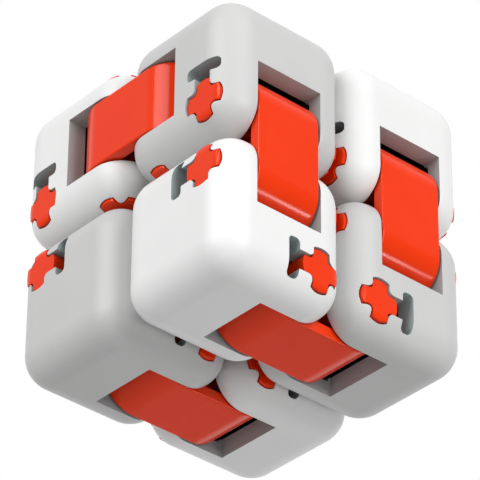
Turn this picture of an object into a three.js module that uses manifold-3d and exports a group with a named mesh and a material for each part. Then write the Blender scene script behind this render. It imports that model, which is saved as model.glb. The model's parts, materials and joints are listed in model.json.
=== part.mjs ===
// Folding block cube: eight hollow rounded cubes joined in one loop by eight flat links.
// White and pale grey cubes alternate, as on a chessboard.
// Every link is an obround bar that turns on two plus-section axles, one in each cube it joins.
// Millimetres, +Z up, origin at the centre of the bottom. Front is -Y, left is -X.

import * as THREE from 'three';
import { RoundedBoxGeometry } from 'three/addons/geometries/RoundedBoxGeometry.js';
import { mergeVertices } from 'three/addons/utils/BufferGeometryUtils.js';
import Module from 'manifold-3d';

// Cubes
const CUBE = 23.85;            // side of one cube
const CUBE_GAP = 0.3;          // air between neighbouring cubes
const CUBE_FILLET = 5.25;      // edge rounding
const WALL = 3.2;              // wall thickness of the hollow cube
const CAVITY_FILLET = 2.5;

// Hinge positions, measured from the two faces that meet at the hinge
const PIVOT_INSET = 5.65;
const WINDOW_LENGTH = 12.15;   // length of the link's window on both faces
const WINDOW_WIDTH = 12.2;

// Links
const LINK_WIDTH = 11.6;
const LINK_END_RADIUS = PIVOT_INSET;   // links lie flush with the cubes
const LINK_BORE_RADIUS = 3.65;
const LINK_POCKET_RADIUS = 3.85;
const LINK_POCKET_DEPTH = 2.75;
const LINK_EDGE_BREAK = 0.3;

// Axles and the holes that hold them
const AXLE_RADIUS = 3.35;
const AXLE_ARM = 2.8;
const AXLE_RECESS = 0.35;      // axle ends sit this far below the cube's face
const AXLE_END_FILLET = 3.2;   // axle ends round off with the cube's edges, a little proud of them
const ARM_CORNER_RADIUS = 0.8;
const HOLE_CLEARANCE = 0.2;
const RELIEF_OFFSET = 5.25;    // axle centre to the centre of the T-shaped relief's bar
const RELIEF_LENGTH = 6.5;
const RELIEF_THICKNESS = 2.1;

const FILLET_SEGMENTS = 2;     // facets across half of a rounded cube edge
const END_SEGMENTS = 10;       // facets on each half-round link end
const RELIEF_SEGMENTS = 4;
const OVERCUT = 2;             // cutters run this far past the face they open

const WHITE_CUBE_COLOUR = 0xf2f1ee;
const GREY_CUBE_COLOUR = 0xcfcfcd;
const LINK_COLOUR = 0xe8401f;

const PITCH = CUBE + CUBE_GAP;
const HALF = CUBE / 2;
const PIVOT_OFFSET = HALF - PIVOT_INSET;
const LINK_PIVOTS_APART = PITCH - 2 * PIVOT_OFFSET;

const wasm = await Module();
wasm.setup();

// Cube name -> cell, as signs along X, Y and Z
const CUBES = {
  top_front_left: [-1, -1, 1],
  bottom_front_left: [-1, -1, -1],
  bottom_front_right: [1, -1, -1],
  top_front_right: [1, -1, 1],
  top_back_right: [1, 1, 1],
  bottom_back_right: [1, 1, -1],
  bottom_back_left: [-1, 1, -1],
  top_back_left: [-1, 1, 1],
};

// The loop of links. "outer" is the side of the toy the link lies on. Each end names its cube and which
// way the relief slot beside its axle points: away from the other cube, or inward from the outer side.
const LINKS = [
  { name: 'top_left', outer: [-1, 0, 0], ends: [['top_back_left', 'inward'], ['top_front_left', 'inward']] },
  { name: 'front_left', outer: [0, -1, 0], ends: [['top_front_left', 'away'], ['bottom_front_left', 'inward']] },
  { name: 'bottom_front', outer: [0, 0, -1], ends: [['bottom_front_left', 'away'], ['bottom_front_right', 'away']] },
  { name: 'front_right', outer: [0, -1, 0], ends: [['bottom_front_right', 'inward'], ['top_front_right', 'away']] },
  { name: 'top_right', outer: [1, 0, 0], ends: [['top_front_right', 'inward'], ['top_back_right', 'inward']] },
  { name: 'back_right', outer: [0, 1, 0], ends: [['top_back_right', 'away'], ['bottom_back_right', 'inward']] },
  { name: 'bottom_back', outer: [0, 0, -1], ends: [['bottom_back_right', 'away'], ['bottom_back_left', 'away']] },
  { name: 'back_left', outer: [0, 1, 0], ends: [['bottom_back_left', 'inward'], ['top_back_left', 'away']] },
];

function cubeCentre(name) {
  const [sx, sy, sz] = CUBES[name];
  return new THREE.Vector3(sx * PITCH / 2, sy * PITCH / 2, HALF + (sz > 0 ? PITCH : 0));
}

// One link end as the cube sees it: unit vectors to the outer side and to the other cube, and the pivot.
function hingeAt(link, endIndex) {
  const [cube, relief] = link.ends[endIndex];
  const other = link.ends[1 - endIndex][0];
  const centre = cubeCentre(cube);
  const outer = new THREE.Vector3(...link.outer);
  const mating = cubeCentre(other).sub(centre).normalize().round();
  const pivot = outer.clone().add(mating).multiplyScalar(PIVOT_OFFSET).add(centre);
  const reliefDirection = (relief === 'away' ? mating : outer).clone().negate();
  return { cube, centre, outer, mating, pivot, reliefDirection };
}

// Places geometry drawn in X-Y with its length along Z: X goes along u and Y along v.
function placed(geometry, u, v, origin) {
  const w = new THREE.Vector3().crossVectors(u, v);
  const matrix = new THREE.Matrix4().makeBasis(u, v, w).setPosition(origin);
  return geometry.applyMatrix4(matrix);
}

function toManifold(geometry) {
  geometry.deleteAttribute('normal');
  geometry.deleteAttribute('uv');
  const merged = mergeVertices(geometry, 1e-4);
  return new wasm.Manifold(new wasm.Mesh({
    numProp: 3,
    vertProperties: new Float32Array(merged.attributes.position.array),
    triVerts: new Uint32Array(merged.index.array),
  }));
}

function fromManifold(solid) {
  const mesh = solid.getMesh();
  const geometry = new THREE.BufferGeometry();
  geometry.setAttribute('position', new THREE.BufferAttribute(new Float32Array(mesh.vertProperties), 3));
  geometry.setIndex(new THREE.BufferAttribute(new Uint32Array(mesh.triVerts), 1));
  const flat = geometry.toNonIndexed();
  flat.computeVertexNormals();
  return flat;
}

// Bar with half-round ends, centred, its long side along X.
function obroundShape(centresApart, radius, segments) {
  const shape = new THREE.Shape();
  const points = [];
  for (const [side, start] of [[1, -Math.PI / 2], [-1, Math.PI / 2]]) {
    for (let i = 0; i <= segments; i++) {
      const angle = start + Math.PI * i / segments;
      points.push(new THREE.Vector2(side * centresApart / 2 + radius * Math.cos(angle), radius * Math.sin(angle)));
    }
  }
  shape.setFromPoints(points);
  return shape;
}

// Plus outline with rounded arm ends and rounded inside corners.
function plusShape(radius, armWidth, cornerRadius) {
  const half = armWidth / 2;
  const tip = Math.asin(half / radius);
  const points = [];
  for (let arm = 0; arm < 4; arm++) {
    const turn = arm * Math.PI / 2;
    const corner = new THREE.Vector2(half + cornerRadius, half + cornerRadius);
    for (const angle of [-tip, 0, tip]) {
      points.push(new THREE.Vector2(radius * Math.cos(angle + turn), radius * Math.sin(angle + turn)));
    }
    for (const angle of [1.5 * Math.PI, 1.25 * Math.PI, Math.PI]) {
      const point = new THREE.Vector2(Math.cos(angle), Math.sin(angle)).multiplyScalar(cornerRadius).add(corner);
      points.push(point.rotateAround(new THREE.Vector2(), turn));
    }
  }
  const shape = new THREE.Shape();
  shape.setFromPoints(points);
  return shape;
}

// Straight prism centred on its own length, with an optional broken edge at both ends.
function prism(shape, length, edgeBreak = 0) {
  const geometry = new THREE.ExtrudeGeometry(shape, {
    depth: length - 2 * edgeBreak,
    bevelEnabled: edgeBreak > 0,
    bevelThickness: edgeBreak,
    bevelSize: edgeBreak,
    bevelOffset: -edgeBreak,
    bevelSegments: 1,
    steps: 1,
  });
  return geometry.translate(0, 0, edgeBreak - length / 2);
}

function cubeBody() {
  return toManifold(new RoundedBoxGeometry(CUBE, CUBE, CUBE, FILLET_SEGMENTS, CUBE_FILLET));
}

// Everything one hinge removes from its cube: the link's window, the axle's holes and their reliefs.
function hingeCutter({ outer, mating, centre, pivot, reliefDirection }) {
  const windowSize = WINDOW_LENGTH + OVERCUT;
  const windowBox = new THREE.BoxGeometry(windowSize, windowSize, WINDOW_WIDTH);
  const windowCentre = outer.clone().add(mating).multiplyScalar(HALF - WINDOW_LENGTH + windowSize / 2).add(centre);
  const axis = new THREE.Vector3().crossVectors(outer, mating);
  const across = new THREE.Vector3().crossVectors(axis, reliefDirection);
  const throughLength = CUBE + 2 * OVERCUT;

  const hole = prism(plusShape(AXLE_RADIUS + HOLE_CLEARANCE, AXLE_ARM + 2 * HOLE_CLEARANCE, ARM_CORNER_RADIUS),
    throughLength);
  const neck = new THREE.BoxGeometry(RELIEF_OFFSET, AXLE_ARM + 2 * HOLE_CLEARANCE, throughLength)
    .translate(RELIEF_OFFSET / 2, 0, 0);
  const bar = prism(obroundShape(RELIEF_LENGTH - RELIEF_THICKNESS, RELIEF_THICKNESS / 2, RELIEF_SEGMENTS),
    throughLength).rotateZ(Math.PI / 2).translate(RELIEF_OFFSET, 0, 0);

  return toManifold(placed(windowBox, outer, mating, windowCentre))
    .add(toManifold(placed(hole, outer, mating, pivot)))
    .add(toManifold(placed(neck, reliefDirection, across, pivot)))
    .add(toManifold(placed(bar, reliefDirection, across, pivot)));
}

function cubeGeometry(name) {
  const cavitySide = CUBE - 2 * WALL;
  const cavity = toManifold(new RoundedBoxGeometry(cavitySide, cavitySide, cavitySide, 1, CAVITY_FILLET));
  const centre = cubeCentre(name);
  let solid = cubeBody().subtract(cavity).translate(centre.toArray());
  for (const link of LINKS) {
    for (const endIndex of [0, 1]) {
      if (link.ends[endIndex][0] === name) {
        solid = solid.subtract(hingeCutter(hingeAt(link, endIndex)));
      }
    }
  }
  return fromManifold(solid);
}

function linkGeometry(link) {
  const { outer, mating, pivot } = hingeAt(link, 0);
  const middle = pivot.clone().addScaledVector(mating, LINK_PIVOTS_APART / 2);
  const body = prism(obroundShape(LINK_PIVOTS_APART, LINK_END_RADIUS, END_SEGMENTS), LINK_WIDTH, LINK_EDGE_BREAK);
  let solid = toManifold(placed(body, mating, outer, middle));
  for (const side of [-1, 1]) {
    const bore = prism(obroundShape(0, LINK_BORE_RADIUS, END_SEGMENTS), LINK_WIDTH + OVERCUT)
      .translate(side * LINK_PIVOTS_APART / 2, 0, 0);
    const pocket = prism(obroundShape(LINK_PIVOTS_APART, LINK_POCKET_RADIUS, END_SEGMENTS),
      LINK_POCKET_DEPTH + OVERCUT).translate(0, 0, side * (LINK_WIDTH + OVERCUT - LINK_POCKET_DEPTH) / 2);
    solid = solid.subtract(toManifold(placed(bore, mating, outer, middle)));
    solid = solid.subtract(toManifold(placed(pocket, mating, outer, middle)));
  }
  return fromManifold(solid);
}

// Plus-section bar whose ends are trimmed to the rounded outline of its cube.
function axleGeometry({ outer, mating, pivot, centre }) {
  const bar = prism(plusShape(AXLE_RADIUS, AXLE_ARM, ARM_CORNER_RADIUS), CUBE + OVERCUT);
  const side = CUBE - 2 * AXLE_RECESS;
  const outline = toManifold(new RoundedBoxGeometry(side, side, side, FILLET_SEGMENTS, AXLE_END_FILLET));
  return fromManifold(toManifold(placed(bar, outer, mating, pivot)).intersect(outline.translate(centre.toArray())));
}

function addPart(group, name, geometry, colour, roughness) {
  const material = new THREE.MeshStandardMaterial({ color: colour, roughness, metalness: 0 });
  const mesh = new THREE.Mesh(geometry, material);
  mesh.name = name;
  group.add(mesh);
}

const toy = new THREE.Group();
toy.name = 'folding_block_cube';
for (const [name, [sx, sy, sz]] of Object.entries(CUBES)) {
  const colour = sx * sy * sz < 0 ? WHITE_CUBE_COLOUR : GREY_CUBE_COLOUR;
  addPart(toy, `cube_${name}`, cubeGeometry(name), colour, 0.45);
}
for (const link of LINKS) {
  addPart(toy, `link_${link.name}`, linkGeometry(link), LINK_COLOUR, 0.35);
  for (const endIndex of [0, 1]) {
    const hinge = hingeAt(link, endIndex);
    addPart(toy, `axle_${link.name}_in_${hinge.cube}`, axleGeometry(hinge), LINK_COLOUR, 0.4);
  }
}

export default toy;
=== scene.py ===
"""Folding block fidget cube: eight hollow rounded cubes in a loop of orange links on plus-section axles.

Each packed cube, link and axle is replaced by a finely rounded piece of the same size in the same place.
Lengths are in metres, +Z is up and the origin is at the centre of the bottom.
"""

import json
import math

import bmesh
import bpy
from mathutils import Matrix, Vector


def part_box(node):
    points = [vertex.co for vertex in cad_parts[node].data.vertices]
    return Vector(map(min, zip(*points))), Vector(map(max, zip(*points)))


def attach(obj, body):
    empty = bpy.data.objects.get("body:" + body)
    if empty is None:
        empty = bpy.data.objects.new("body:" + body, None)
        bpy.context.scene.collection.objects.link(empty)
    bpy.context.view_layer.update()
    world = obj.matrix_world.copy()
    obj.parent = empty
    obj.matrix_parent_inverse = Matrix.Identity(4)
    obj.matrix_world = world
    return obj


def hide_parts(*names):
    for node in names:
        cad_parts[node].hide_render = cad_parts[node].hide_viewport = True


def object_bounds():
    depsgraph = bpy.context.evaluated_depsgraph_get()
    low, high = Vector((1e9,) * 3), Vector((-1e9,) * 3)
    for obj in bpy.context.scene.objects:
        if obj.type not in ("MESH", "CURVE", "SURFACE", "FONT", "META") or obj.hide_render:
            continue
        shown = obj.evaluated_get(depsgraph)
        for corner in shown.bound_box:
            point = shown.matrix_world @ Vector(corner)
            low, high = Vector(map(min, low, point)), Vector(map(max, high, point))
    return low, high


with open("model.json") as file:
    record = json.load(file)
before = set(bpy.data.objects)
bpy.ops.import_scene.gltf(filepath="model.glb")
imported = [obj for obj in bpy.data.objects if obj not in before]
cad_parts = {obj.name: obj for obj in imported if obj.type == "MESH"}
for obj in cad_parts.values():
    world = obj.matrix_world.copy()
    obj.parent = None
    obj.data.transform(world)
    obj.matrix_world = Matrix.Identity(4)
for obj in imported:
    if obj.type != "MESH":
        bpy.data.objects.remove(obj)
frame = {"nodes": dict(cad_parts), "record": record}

CAD_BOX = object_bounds()
MM = 0.001

# Cubes, as drawn in the CAD
CUBE_FILLET = 5.25 * MM
WALL = 3.2 * MM
CAVITY_FILLET = 2.5 * MM
WINDOW_LENGTH = 12.15 * MM
WINDOW_WIDTH = 12.2 * MM
FILLET_STEPS = 8             # facets across half of a rounded edge
CAVITY_STEPS = 3
OPENING_EDGE = 0.14 * MM     # rounding of the moulded edges round windows and holes
SURFACE_MARGIN = 0.01 * MM   # a face this far inside the hollow's walls still counts as one of them

# Links
LINK_WIDTH = 11.6 * MM
LINK_END_RADIUS = 5.65 * MM  # links lie flush with the cubes
LINK_PIVOTS_APART = 11.6 * MM
LINK_BORE_RADIUS = 3.65 * MM
LINK_POCKET_RADIUS = 3.85 * MM
LINK_POCKET_DEPTH = 2.75 * MM
LINK_EDGE = 0.3 * MM
LINK_BORE_EDGE = 0.07 * MM   # the ledge between bore and pocket is only 0.2 mm wide

# Axles and the holes that hold them
AXLE_RADIUS = 3.35 * MM
AXLE_ARM = 2.8 * MM
AXLE_RECESS = 0.35 * MM
AXLE_END_FILLET = 3.2 * MM   # the ends round off with the cube's edges, a little proud of them
AXLE_EDGE = 0.25 * MM
ARM_CORNER_RADIUS = 0.8 * MM
HOLE_CLEARANCE = 0.2 * MM
RELIEF_OFFSET = 5.25 * MM
RELIEF_LENGTH = 6.5 * MM
RELIEF_THICKNESS = 2.1 * MM
RELIEF_CORNER = 0.75 * MM

# How finely things are made
OVERCUT = 2 * MM             # cutters run this far past the face they open
STAGGER = 1 * MM             # the slot's cutters differ in length, so that no two ends share a plane
ARC_STEPS = 24               # facets on each half-round link end
ARM_STEPS = 6                # facets on each round stretch of a plus
RELIEF_STEPS = 5
OUTER_EDGE_STEPS = 3
OPENING_EDGE_STEPS = 2
SMOOTH_LIMIT = math.radians(32)   # an edge that turns more than this is sharp
POINT_MERGE = 0.001 * MM     # points closer than this are one
SLIVER = 0.002 * MM          # scraps smaller than this are left over from the cuts
FLAT_FACE_WEIGHT = 80


# ---------------------------------------------------------------- meshes

def mesh_object(name, vertices, faces):
    """A new object whose faces all point out."""
    mesh = bpy.data.meshes.new(name)
    mesh.from_pydata(vertices, [], faces)
    piece = bpy.data.objects.new(name, mesh)
    bpy.context.scene.collection.objects.link(piece)
    shape = bmesh.new()
    shape.from_mesh(mesh)
    bmesh.ops.remove_doubles(shape, verts=shape.verts, dist=POINT_MERGE)
    bmesh.ops.recalc_face_normals(shape, faces=shape.faces)
    shape.to_mesh(mesh)
    shape.free()
    return piece


def rounded_box(name, side, fillet, steps):
    """Cube with rounded edges and corners, centred on the origin.

    Each of its six sides is a grid: flat in the middle, and curving through 45 degrees at each border.
    """
    core = side / 2 - fillet
    slopes = [math.tan(math.radians(45) * i / steps) for i in range(steps + 1)]
    stops = [(-core, -slope) for slope in reversed(slopes)] + [(core, slope) for slope in slopes]
    count = len(stops)
    vertices = []
    faces = []
    for axis in range(3):
        for sign in (-1, 1):
            first = len(vertices)
            for place_a, slope_a in stops:
                for place_b, slope_b in stops:
                    flat = Vector((sign * core, place_a, place_b))
                    normal = Vector((sign, slope_a, slope_b)).normalized()
                    point = flat + normal * fillet
                    facing_axis = Vector((point[-axis], point[1 - axis], point[2 - axis]))
                    vertices.append(facing_axis)
            for i in range(count - 1):
                for j in range(count - 1):
                    corner = first + i * count + j
                    faces.append((corner, corner + 1, corner + count + 1, corner + count))
    return mesh_object(name, vertices, faces)


def prism(name, outline, length):
    """Straight prism along Z, centred on its own length."""
    count = len(outline)
    vertices = [(x, y, z) for z in (-length / 2, length / 2) for x, y in outline]
    faces = [tuple(range(count)), tuple(range(count, 2 * count))]
    for i in range(count):
        after = (i + 1) % count
        faces.append((i, after, after + count, i + count))
    return mesh_object(name, vertices, faces)


def arc(centre, radius, start, end, steps):
    angles = [start + (end - start) * i / steps for i in range(steps + 1)]
    return [(centre[0] + radius * math.cos(a), centre[1] + radius * math.sin(a)) for a in angles]


def obround(apart, radius, steps):
    """Outline with half-round ends, its long side along X."""
    right = arc((apart / 2, 0), radius, -math.pi / 2, math.pi / 2, steps)
    left = arc((-apart / 2, 0), radius, math.pi / 2, 1.5 * math.pi, steps)
    return right + left


def soft_rectangle(length, width, corner, steps):
    """Rectangle with rounded corners, its long side along X."""
    x, y = length / 2 - corner, width / 2 - corner
    outline = []
    for turn, (side_x, side_y) in enumerate(((1, -1), (1, 1), (-1, 1), (-1, -1))):
        start = (turn - 1) * math.pi / 2
        outline += arc((side_x * x, side_y * y), corner, start, start + math.pi / 2, steps)
    return outline


def circle(radius, steps):
    return arc((0, 0), radius, 0, 2 * math.pi * (1 - 1 / steps), steps - 1)


def rectangle(length, width):
    return [(x * length / 2, y * width / 2) for x, y in ((-1, -1), (1, -1), (1, 1), (-1, 1))]


def plus(radius, arm, corner):
    """Outline of a plus with rounded arm ends and rounded inside corners."""
    half = arm / 2
    tip = math.asin(half / radius)
    quarter = arc((0, 0), radius, -tip, tip, ARM_STEPS)
    quarter += arc((half + corner, half + corner), corner, 1.5 * math.pi, math.pi, ARM_STEPS)
    outline = []
    for turn in range(4):
        cosine, sine = math.cos(turn * math.pi / 2), math.sin(turn * math.pi / 2)
        outline += [(x * cosine - y * sine, x * sine + y * cosine) for x, y in quarter]
    return outline


def place(piece, along_x, along_y, origin):
    """Moves a piece's mesh so that its X goes along one direction and its Y along another."""
    turn = Matrix((along_x, along_y, along_x.cross(along_y))).transposed().to_4x4()
    piece.data.transform(Matrix.Translation(origin) @ turn)


def cut(piece, cutters, operation="DIFFERENCE"):
    """Cuts the piece with the cutters and removes them."""
    for cutter in cutters:
        boolean = piece.modifiers.new("cut", "BOOLEAN")
        boolean.operation = operation
        boolean.solver = "EXACT"
        boolean.object = cutter
    bake_modifiers(piece)
    for cutter in cutters:
        bpy.data.meshes.remove(cutter.data)


def bake_modifiers(piece):
    """Turns what the modifiers make of the mesh into the mesh itself."""
    evaluated = piece.evaluated_get(bpy.context.evaluated_depsgraph_get())
    baked = bpy.data.meshes.new_from_object(evaluated)
    piece.modifiers.clear()
    piece.data = baked


def round_edges(piece, width, steps):
    """Rounds every sharp edge."""
    bevel = piece.modifiers.new("edge rounding", "BEVEL")
    bevel.width = width
    bevel.segments = steps
    bevel.limit_method = "ANGLE"
    bevel.angle_limit = SMOOTH_LIMIT
    bevel.use_clamp_overlap = True
    bevel.miter_outer = "MITER_ARC"
    bake_modifiers(piece)


def finish_edges(piece, width, steps):
    """Clears the scraps of the cuts, rounds the sharp edges and smooths the shading of round stretches."""
    shape = bmesh.new()
    shape.from_mesh(piece.data)
    bmesh.ops.remove_doubles(shape, verts=shape.verts, dist=SLIVER)
    bmesh.ops.dissolve_degenerate(shape, edges=shape.edges, dist=SLIVER)
    shape.to_mesh(piece.data)
    shape.free()
    round_edges(piece, width, steps)
    for face in piece.data.polygons:
        face.use_smooth = True
    weighted = piece.modifiers.new("flat face normals", "WEIGHTED_NORMAL")
    weighted.mode = "FACE_AREA"
    weighted.weight = FLAT_FACE_WEIGHT
    weighted.keep_sharp = True


# ---------------------------------------------------------------- where things are

def middle(node):
    """The middle of a CAD node's box."""
    low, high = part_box(node)
    return (Vector(low) + Vector(high)) / 2


def unit_axis(vector):
    """The signed axis a vector mostly points along."""
    longest = max(range(3), key=lambda i: abs(vector[i]))
    axis = Vector((0, 0, 0))
    axis[longest] = math.copysign(1, vector[longest])
    return axis


def hinge(axle_name):
    """What an axle's node says about its hinge, from the boxes of the axle, its link and its cube.

    mating points along the face from the axle to the link's middle, outer points out through the face that
    the link lies on, and relief points from the axle to the bar of its T-shaped slot.
    """
    link_name, cube_name = axle_name.removeprefix("axle_").split("_in_")
    low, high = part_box(axle_name)
    pivot = middle(axle_name)
    mating = unit_axis(middle("link_" + link_name) - pivot)
    sideways = mating.cross(unit_axis(Vector(high) - Vector(low)))
    outer = sideways * math.copysign(1, sideways.dot(pivot - middle("cube_" + cube_name)))
    on_bottom_link = outer.z < 0
    above_upright_link = mating.z < 0
    return {
        "pivot": pivot,
        "mating": mating,
        "outer": outer,
        "relief": -mating if on_bottom_link or above_upright_link else -outer,
        "cube": "cube_" + cube_name,
    }


HINGES = {name: hinge(name) for name in frame["nodes"] if name.startswith("axle_")}
CUBES = sorted(name for name in frame["nodes"] if name.startswith("cube_"))
LINKS = sorted(name for name in frame["nodes"] if name.startswith("link_"))
CUBE_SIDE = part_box(CUBES[0])[1][0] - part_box(CUBES[0])[0][0]
BODIES = {node: body for body, nodes in frame["record"]["behaviour"]["bodies"].items() for node in nodes}
MATERIAL_SLOTS = {part["node"]: part["material_slot"] for part in frame["record"]["subparts"]}


def stand_for(piece, node, *materials):
    """Gives a finished piece its materials, and lets it stand for a CAD node on that node's body."""
    piece.data.materials.clear()
    for material in materials:
        piece.data.materials.append(material)
    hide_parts(node)
    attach(piece, BODIES[node])


# ---------------------------------------------------------------- the pieces

def hinge_cutters(spec):
    """The window, axle hole and T-shaped relief that one hinge opens in its cube."""
    through = CUBE_SIDE + 2 * OVERCUT
    window_side = WINDOW_LENGTH + OVERCUT
    window_reach = CUBE_SIDE / 2 - WINDOW_LENGTH + window_side / 2
    window_middle = middle(spec["cube"]) + (spec["outer"] + spec["mating"]) * window_reach
    window = prism("window", rectangle(window_side, window_side), WINDOW_WIDTH)
    place(window, spec["mating"], spec["outer"], window_middle)

    axis = spec["mating"].cross(spec["outer"])
    across = axis.cross(spec["relief"])
    slot_width = AXLE_ARM + 2 * HOLE_CLEARANCE
    hole = prism("hole", plus(AXLE_RADIUS + HOLE_CLEARANCE, slot_width, ARM_CORNER_RADIUS), through)
    place(hole, spec["mating"], spec["outer"], spec["pivot"])
    neck = prism("neck", rectangle(RELIEF_OFFSET, slot_width), through - STAGGER)
    place(neck, spec["relief"], across, spec["pivot"] + spec["relief"] * RELIEF_OFFSET / 2)
    bar_outline = soft_rectangle(RELIEF_LENGTH, RELIEF_THICKNESS, RELIEF_CORNER, RELIEF_STEPS)
    bar = prism("bar", bar_outline, through + STAGGER)
    place(bar, across, -spec["relief"], spec["pivot"] + spec["relief"] * RELIEF_OFFSET)
    return [window, hole, neck, bar]


def depth_under_skin(offset):
    """How far a point lies under the cube's rounded outer surface, by its offset from the cube's centre."""
    core = CUBE_SIDE / 2 - CUBE_FILLET
    outside = Vector(max(abs(c) - core, 0) for c in offset)
    return CUBE_FILLET - outside.length


# Material slots of a cube: its skin, then the painted shade of the opening walls, then the painted shade of
# the hollow.
SKIN_INDEX, SHADED_WALL_INDEX, SHADED_HOLLOW_INDEX = range(3)


def paint_shade_in_openings(piece, centre):
    """Paints shade into the openings: their walls get a darker grey, tinted against the orange light of the
    links, and the hollow behind them near black.
    """
    cavity_reach = CUBE_SIDE / 2 - WALL + SURFACE_MARGIN
    for face in piece.data.polygons:
        reach = max(abs(c) for v in face.vertices for c in piece.data.vertices[v].co - centre)
        if reach < cavity_reach:
            face.material_index = SHADED_HOLLOW_INDEX
        elif depth_under_skin(face.center - centre) > OPENING_EDGE:
            face.material_index = SHADED_WALL_INDEX
        else:
            face.material_index = SKIN_INDEX


def build_cube(node, skin, shaded_opening_wall, inside):
    piece = rounded_box(node.replace("cube", "block"), CUBE_SIDE, CUBE_FILLET, FILLET_STEPS)
    cavity = rounded_box("cavity", CUBE_SIDE - 2 * WALL, CAVITY_FILLET, CAVITY_STEPS)
    for part in (piece, cavity):
        part.data.transform(Matrix.Translation(middle(node)))
    cutters = [cavity]
    for spec in HINGES.values():
        if spec["cube"] == node:
            cutters += hinge_cutters(spec)
    cut(piece, cutters)
    finish_edges(piece, OPENING_EDGE, OPENING_EDGE_STEPS)
    stand_for(piece, node, skin, shaded_opening_wall, inside)
    paint_shade_in_openings(piece, middle(node))


def build_link(node, material):
    axle_prefix = node.replace("link_", "axle_") + "_in_"
    spec = next(s for name, s in HINGES.items() if name.startswith(axle_prefix))
    outline = obround(LINK_PIVOTS_APART, LINK_END_RADIUS, ARC_STEPS)
    piece = prism(node.replace("link", "bar"), outline, LINK_WIDTH)
    round_edges(piece, LINK_EDGE, OUTER_EDGE_STEPS)
    pocket_outline = obround(LINK_PIVOTS_APART, LINK_POCKET_RADIUS, ARC_STEPS)
    pocket_height = (LINK_WIDTH + OVERCUT - LINK_POCKET_DEPTH) / 2
    cutters = []
    for side in (-1, 1):
        bore = prism("bore", circle(LINK_BORE_RADIUS, 2 * ARC_STEPS), LINK_WIDTH + OVERCUT)
        bore.data.transform(Matrix.Translation((side * LINK_PIVOTS_APART / 2, 0, 0)))
        pocket = prism("pocket", pocket_outline, LINK_POCKET_DEPTH + OVERCUT)
        pocket.data.transform(Matrix.Translation((0, 0, side * pocket_height)))
        cutters += [bore, pocket]
    cut(piece, cutters)
    place(piece, spec["mating"], spec["outer"], middle(node))
    finish_edges(piece, LINK_BORE_EDGE, OPENING_EDGE_STEPS)
    stand_for(piece, node, material)


def build_axle(node, material):
    spec = HINGES[node]
    section = plus(AXLE_RADIUS, AXLE_ARM, ARM_CORNER_RADIUS)
    piece = prism(node.replace("axle", "pin"), section, CUBE_SIDE + OVERCUT)
    place(piece, spec["mating"], spec["outer"], spec["pivot"])
    trim = rounded_box("trim", CUBE_SIDE - 2 * AXLE_RECESS, AXLE_END_FILLET, FILLET_STEPS)
    trim.data.transform(Matrix.Translation(middle(spec["cube"])))
    cut(piece, [trim], "INTERSECT")
    finish_edges(piece, AXLE_EDGE, OUTER_EDGE_STEPS)
    stand_for(piece, node, material)


# ---------------------------------------------------------------- materials

DRIFT_SCALE = 90             # shade patches about 11 mm across
DRIFT_DETAIL = 3
DRIFT_FROM, DRIFT_TO = 0.3, 0.7   # the part of the noise over which the shade goes from deep to pale
GLOSS_SPREAD = 0.05          # the roughness drifts this far either way
GRAIN_SCALE = 2600           # mould grain about 0.4 mm across
GRAIN_DETAIL = 4
GRAIN_STRENGTH = 0.06
GRAIN_HEIGHT = 0.05 * MM


def colour_ramp(nodes, stops):
    """A ramp through (position, colour) stops, which are in order."""
    ramp = nodes.new("ShaderNodeValToRGB")
    elements = ramp.color_ramp.elements
    for element, (position, colour) in zip(elements, (stops[0], stops[-1])):
        element.position = position
        element.color = (*colour, 1)
    for position, colour in stops[1:-1]:
        elements.new(position).color = (*colour, 1)
    return ramp


def noise(nodes, scale, detail):
    texture = nodes.new("ShaderNodeTexNoise")
    texture.inputs["Scale"].default_value = scale
    texture.inputs["Detail"].default_value = detail
    return texture


def moulded_plastic(name, deep, pale, roughness, specular):
    """Moulded plastic: slow shade drift, slightly uneven gloss and a fine mould grain."""
    material = bpy.data.materials.new(name)
    material.use_nodes = True
    nodes = material.node_tree.nodes
    links = material.node_tree.links
    shader = nodes["Principled BSDF"]
    shader.inputs["Specular IOR Level"].default_value = specular
    position = nodes.new("ShaderNodeTexCoord")

    drift = noise(nodes, DRIFT_SCALE, DRIFT_DETAIL)
    shade = colour_ramp(nodes, ((DRIFT_FROM, deep), (DRIFT_TO, pale)))
    links.new(position.outputs["Object"], drift.inputs["Vector"])
    links.new(drift.outputs["Fac"], shade.inputs["Fac"])
    links.new(shade.outputs["Color"], shader.inputs["Base Color"])

    gloss = nodes.new("ShaderNodeMapRange")
    gloss.inputs["To Min"].default_value = roughness - GLOSS_SPREAD
    gloss.inputs["To Max"].default_value = roughness + GLOSS_SPREAD
    links.new(drift.outputs["Fac"], gloss.inputs["Value"])
    links.new(gloss.outputs["Result"], shader.inputs["Roughness"])

    grain = noise(nodes, GRAIN_SCALE, GRAIN_DETAIL)
    bump = nodes.new("ShaderNodeBump")
    bump.inputs["Strength"].default_value = GRAIN_STRENGTH
    bump.inputs["Distance"].default_value = GRAIN_HEIGHT
    links.new(position.outputs["Object"], grain.inputs["Vector"])
    links.new(grain.outputs["Fac"], bump.inputs["Height"])
    links.new(bump.outputs["Normal"], shader.inputs["Normal"])
    return material


# name, deep and pale shade, roughness, specular level
WHITE = moulded_plastic("white plastic", (0.765, 0.765, 0.76), (0.79, 0.79, 0.785), 0.42, 0.35)
GREY = moulded_plastic("grey plastic", (0.535, 0.535, 0.53), (0.56, 0.56, 0.555), 0.42, 0.35)
# Painted shade: the walls of windows, holes and slots are a darker grey than the skins, tinted cyan to
# cancel the orange light that the links throw on them.
SHADED_OPENING_WALL = moulded_plastic("opening wall painted shade", (0.37, 0.45, 0.45), (0.4, 0.48, 0.48), 0.5, 0.2)
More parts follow.
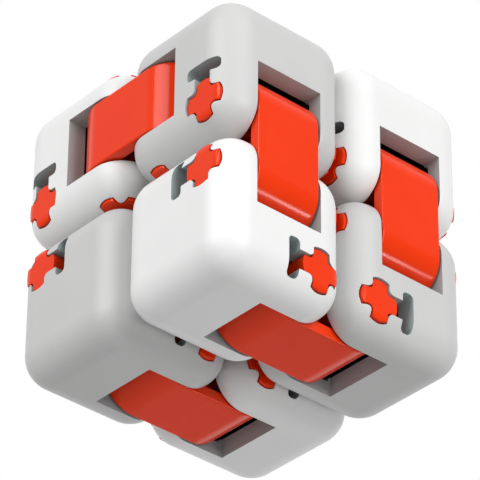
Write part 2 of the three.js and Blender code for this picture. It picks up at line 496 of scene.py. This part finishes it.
# Painted shade: the hollow inside each cube is near black, standing in for the darkness in there.
SHADED_HOLLOW = moulded_plastic("unlit inside", (0.008, 0.009, 0.009), (0.012, 0.013, 0.013), 0.8, 0.05)
ORANGE = moulded_plastic("orange plastic", (0.8, 0.036, 0.002), (0.83, 0.041, 0.003), 0.15, 0.25)
SKINS = {"white_plastic": WHITE, "grey_plastic": GREY, "orange_plastic": ORANGE}

for node in CUBES:
    build_cube(node, SKINS[MATERIAL_SLOTS[node]], SHADED_OPENING_WALL, SHADED_HOLLOW)
for node in LINKS:
    build_link(node, SKINS[MATERIAL_SLOTS[node]])
for node in HINGES:
    build_axle(node, SKINS[MATERIAL_SLOTS[node]])


# ---------------------------------------------------------------- studio

TARGET = (CAD_BOX[0] + CAD_BOX[1]) / 2

FLOOR_DEPTH = 1.05           # the toy hangs free, and is seen from below, so the floor lies far under it
FLOOR_SIDE = 3.6
FLOOR_COLOUR = (0.74, 0.74, 0.74, 1)
FLOOR_ROUGHNESS = 0.9

BACKDROP_DIRECTION = (0.61, 0.71, 0.35)   # behind the toy and above it, as the camera looks up at it
BACKDROP_REACH = 0.85        # cosine of the angle from that direction within which all is white
ROOM_SHADES = (              # from straight opposite the backdrop, 0, to the backdrop, 1
    (0, (0.42, 0.42, 0.424)),
    (0.3, (0.2, 0.2, 0.202)),
    (0.49, (0.2, 0.2, 0.202)),
    (1, (1, 1, 1)),
)

SOFTBOX_DISTANCE = 1.0
SOFTBOXES = (                # name, direction from the toy, side in metres, power in watts
    ("key", (0.0, -0.95, 0.2), 0.7, 7.9),
    ("low strip", (0.55, -0.71, -0.48), 0.12, 0.7),
    ("fill", (-0.93, -0.1, 0.35), 0.7, 7.6),
)

CAMERA_AZIMUTH = math.radians(-41.15)     # round from looking along +Y
CAMERA_ELEVATION = math.radians(-33.6)    # the toy is seen from below
CAMERA_ROLL = math.radians(0.55)
CAMERA_DISTANCE = 0.5225
CAMERA_FIELD = 0.1374        # width of the view at unit distance
SENSOR_WIDTH = 36
CLIP_START, CLIP_END = 0.05, 10
AIM_SHIFT = (-0.25 * MM, 0.9 * MM)   # the toy lies a little right of and below the middle of the view


def build_floor():
    corners = [(x, y, -FLOOR_DEPTH) for x, y in rectangle(FLOOR_SIDE, FLOOR_SIDE)]
    floor = mesh_object("floor", corners, [(0, 1, 2, 3)])
    material = bpy.data.materials.new("floor")
    material.use_nodes = True
    shader = material.node_tree.nodes["Principled BSDF"]
    shader.inputs["Base Color"].default_value = FLOOR_COLOUR
    shader.inputs["Roughness"].default_value = FLOOR_ROUGHNESS
    floor.data.materials.append(material)


def build_world():
    """A white backdrop behind the toy that falls away to a dimmer room in front of it."""
    world = bpy.data.worlds.new("studio")
    bpy.context.scene.world = world
    world.use_nodes = True
    nodes = world.node_tree.nodes
    links = world.node_tree.links
    direction = nodes.new("ShaderNodeTexCoord")
    nearness = nodes.new("ShaderNodeVectorMath")
    nearness.operation = "DOT_PRODUCT"
    nearness.inputs[1].default_value = BACKDROP_DIRECTION
    spread = nodes.new("ShaderNodeMapRange")
    spread.inputs["From Min"].default_value = -1
    spread.inputs["From Max"].default_value = BACKDROP_REACH
    shade = colour_ramp(nodes, ROOM_SHADES)
    links.new(direction.outputs["Generated"], nearness.inputs[0])
    links.new(nearness.outputs["Value"], spread.inputs["Value"])
    links.new(spread.outputs["Result"], shade.inputs["Fac"])
    links.new(shade.outputs["Color"], nodes["Background"].inputs["Color"])


def build_softbox(name, direction, side, power):
    """A square area light that faces the toy."""
    light = bpy.data.lights.new(name, "AREA")
    light.shape = "SQUARE"
    light.size = side
    light.energy = power
    lamp = bpy.data.objects.new(name, light)
    towards = Vector(direction).normalized()
    lamp.location = TARGET + towards * SOFTBOX_DISTANCE
    lamp.rotation_euler = towards.to_track_quat("Z", "Y").to_euler()
    bpy.context.scene.collection.objects.link(lamp)


def build_camera():
    level = math.cos(CAMERA_ELEVATION)
    back = Vector((math.sin(CAMERA_AZIMUTH) * level, -math.cos(CAMERA_AZIMUTH) * level,
                   math.sin(CAMERA_ELEVATION)))
    data = bpy.data.cameras.new("camera")
    data.sensor_width = SENSOR_WIDTH
    data.lens = SENSOR_WIDTH / CAMERA_FIELD
    data.clip_start = CLIP_START
    data.clip_end = CLIP_END
    camera = bpy.data.objects.new("camera", data)
    turn = (-back).to_track_quat("-Z", "Y").to_matrix() @ Matrix.Rotation(CAMERA_ROLL, 3, "Z")
    place_seen_from = TARGET + back * CAMERA_DISTANCE + turn @ Vector((*AIM_SHIFT, 0))
    camera.matrix_world = Matrix.Translation(place_seen_from) @ turn.to_4x4()
    bpy.context.scene.collection.objects.link(camera)
    bpy.context.scene.camera = camera


build_floor()
build_world()
for softbox in SOFTBOXES:
    build_softbox(*softbox)
build_camera()
bpy.context.scene.view_settings.view_transform = "Standard"
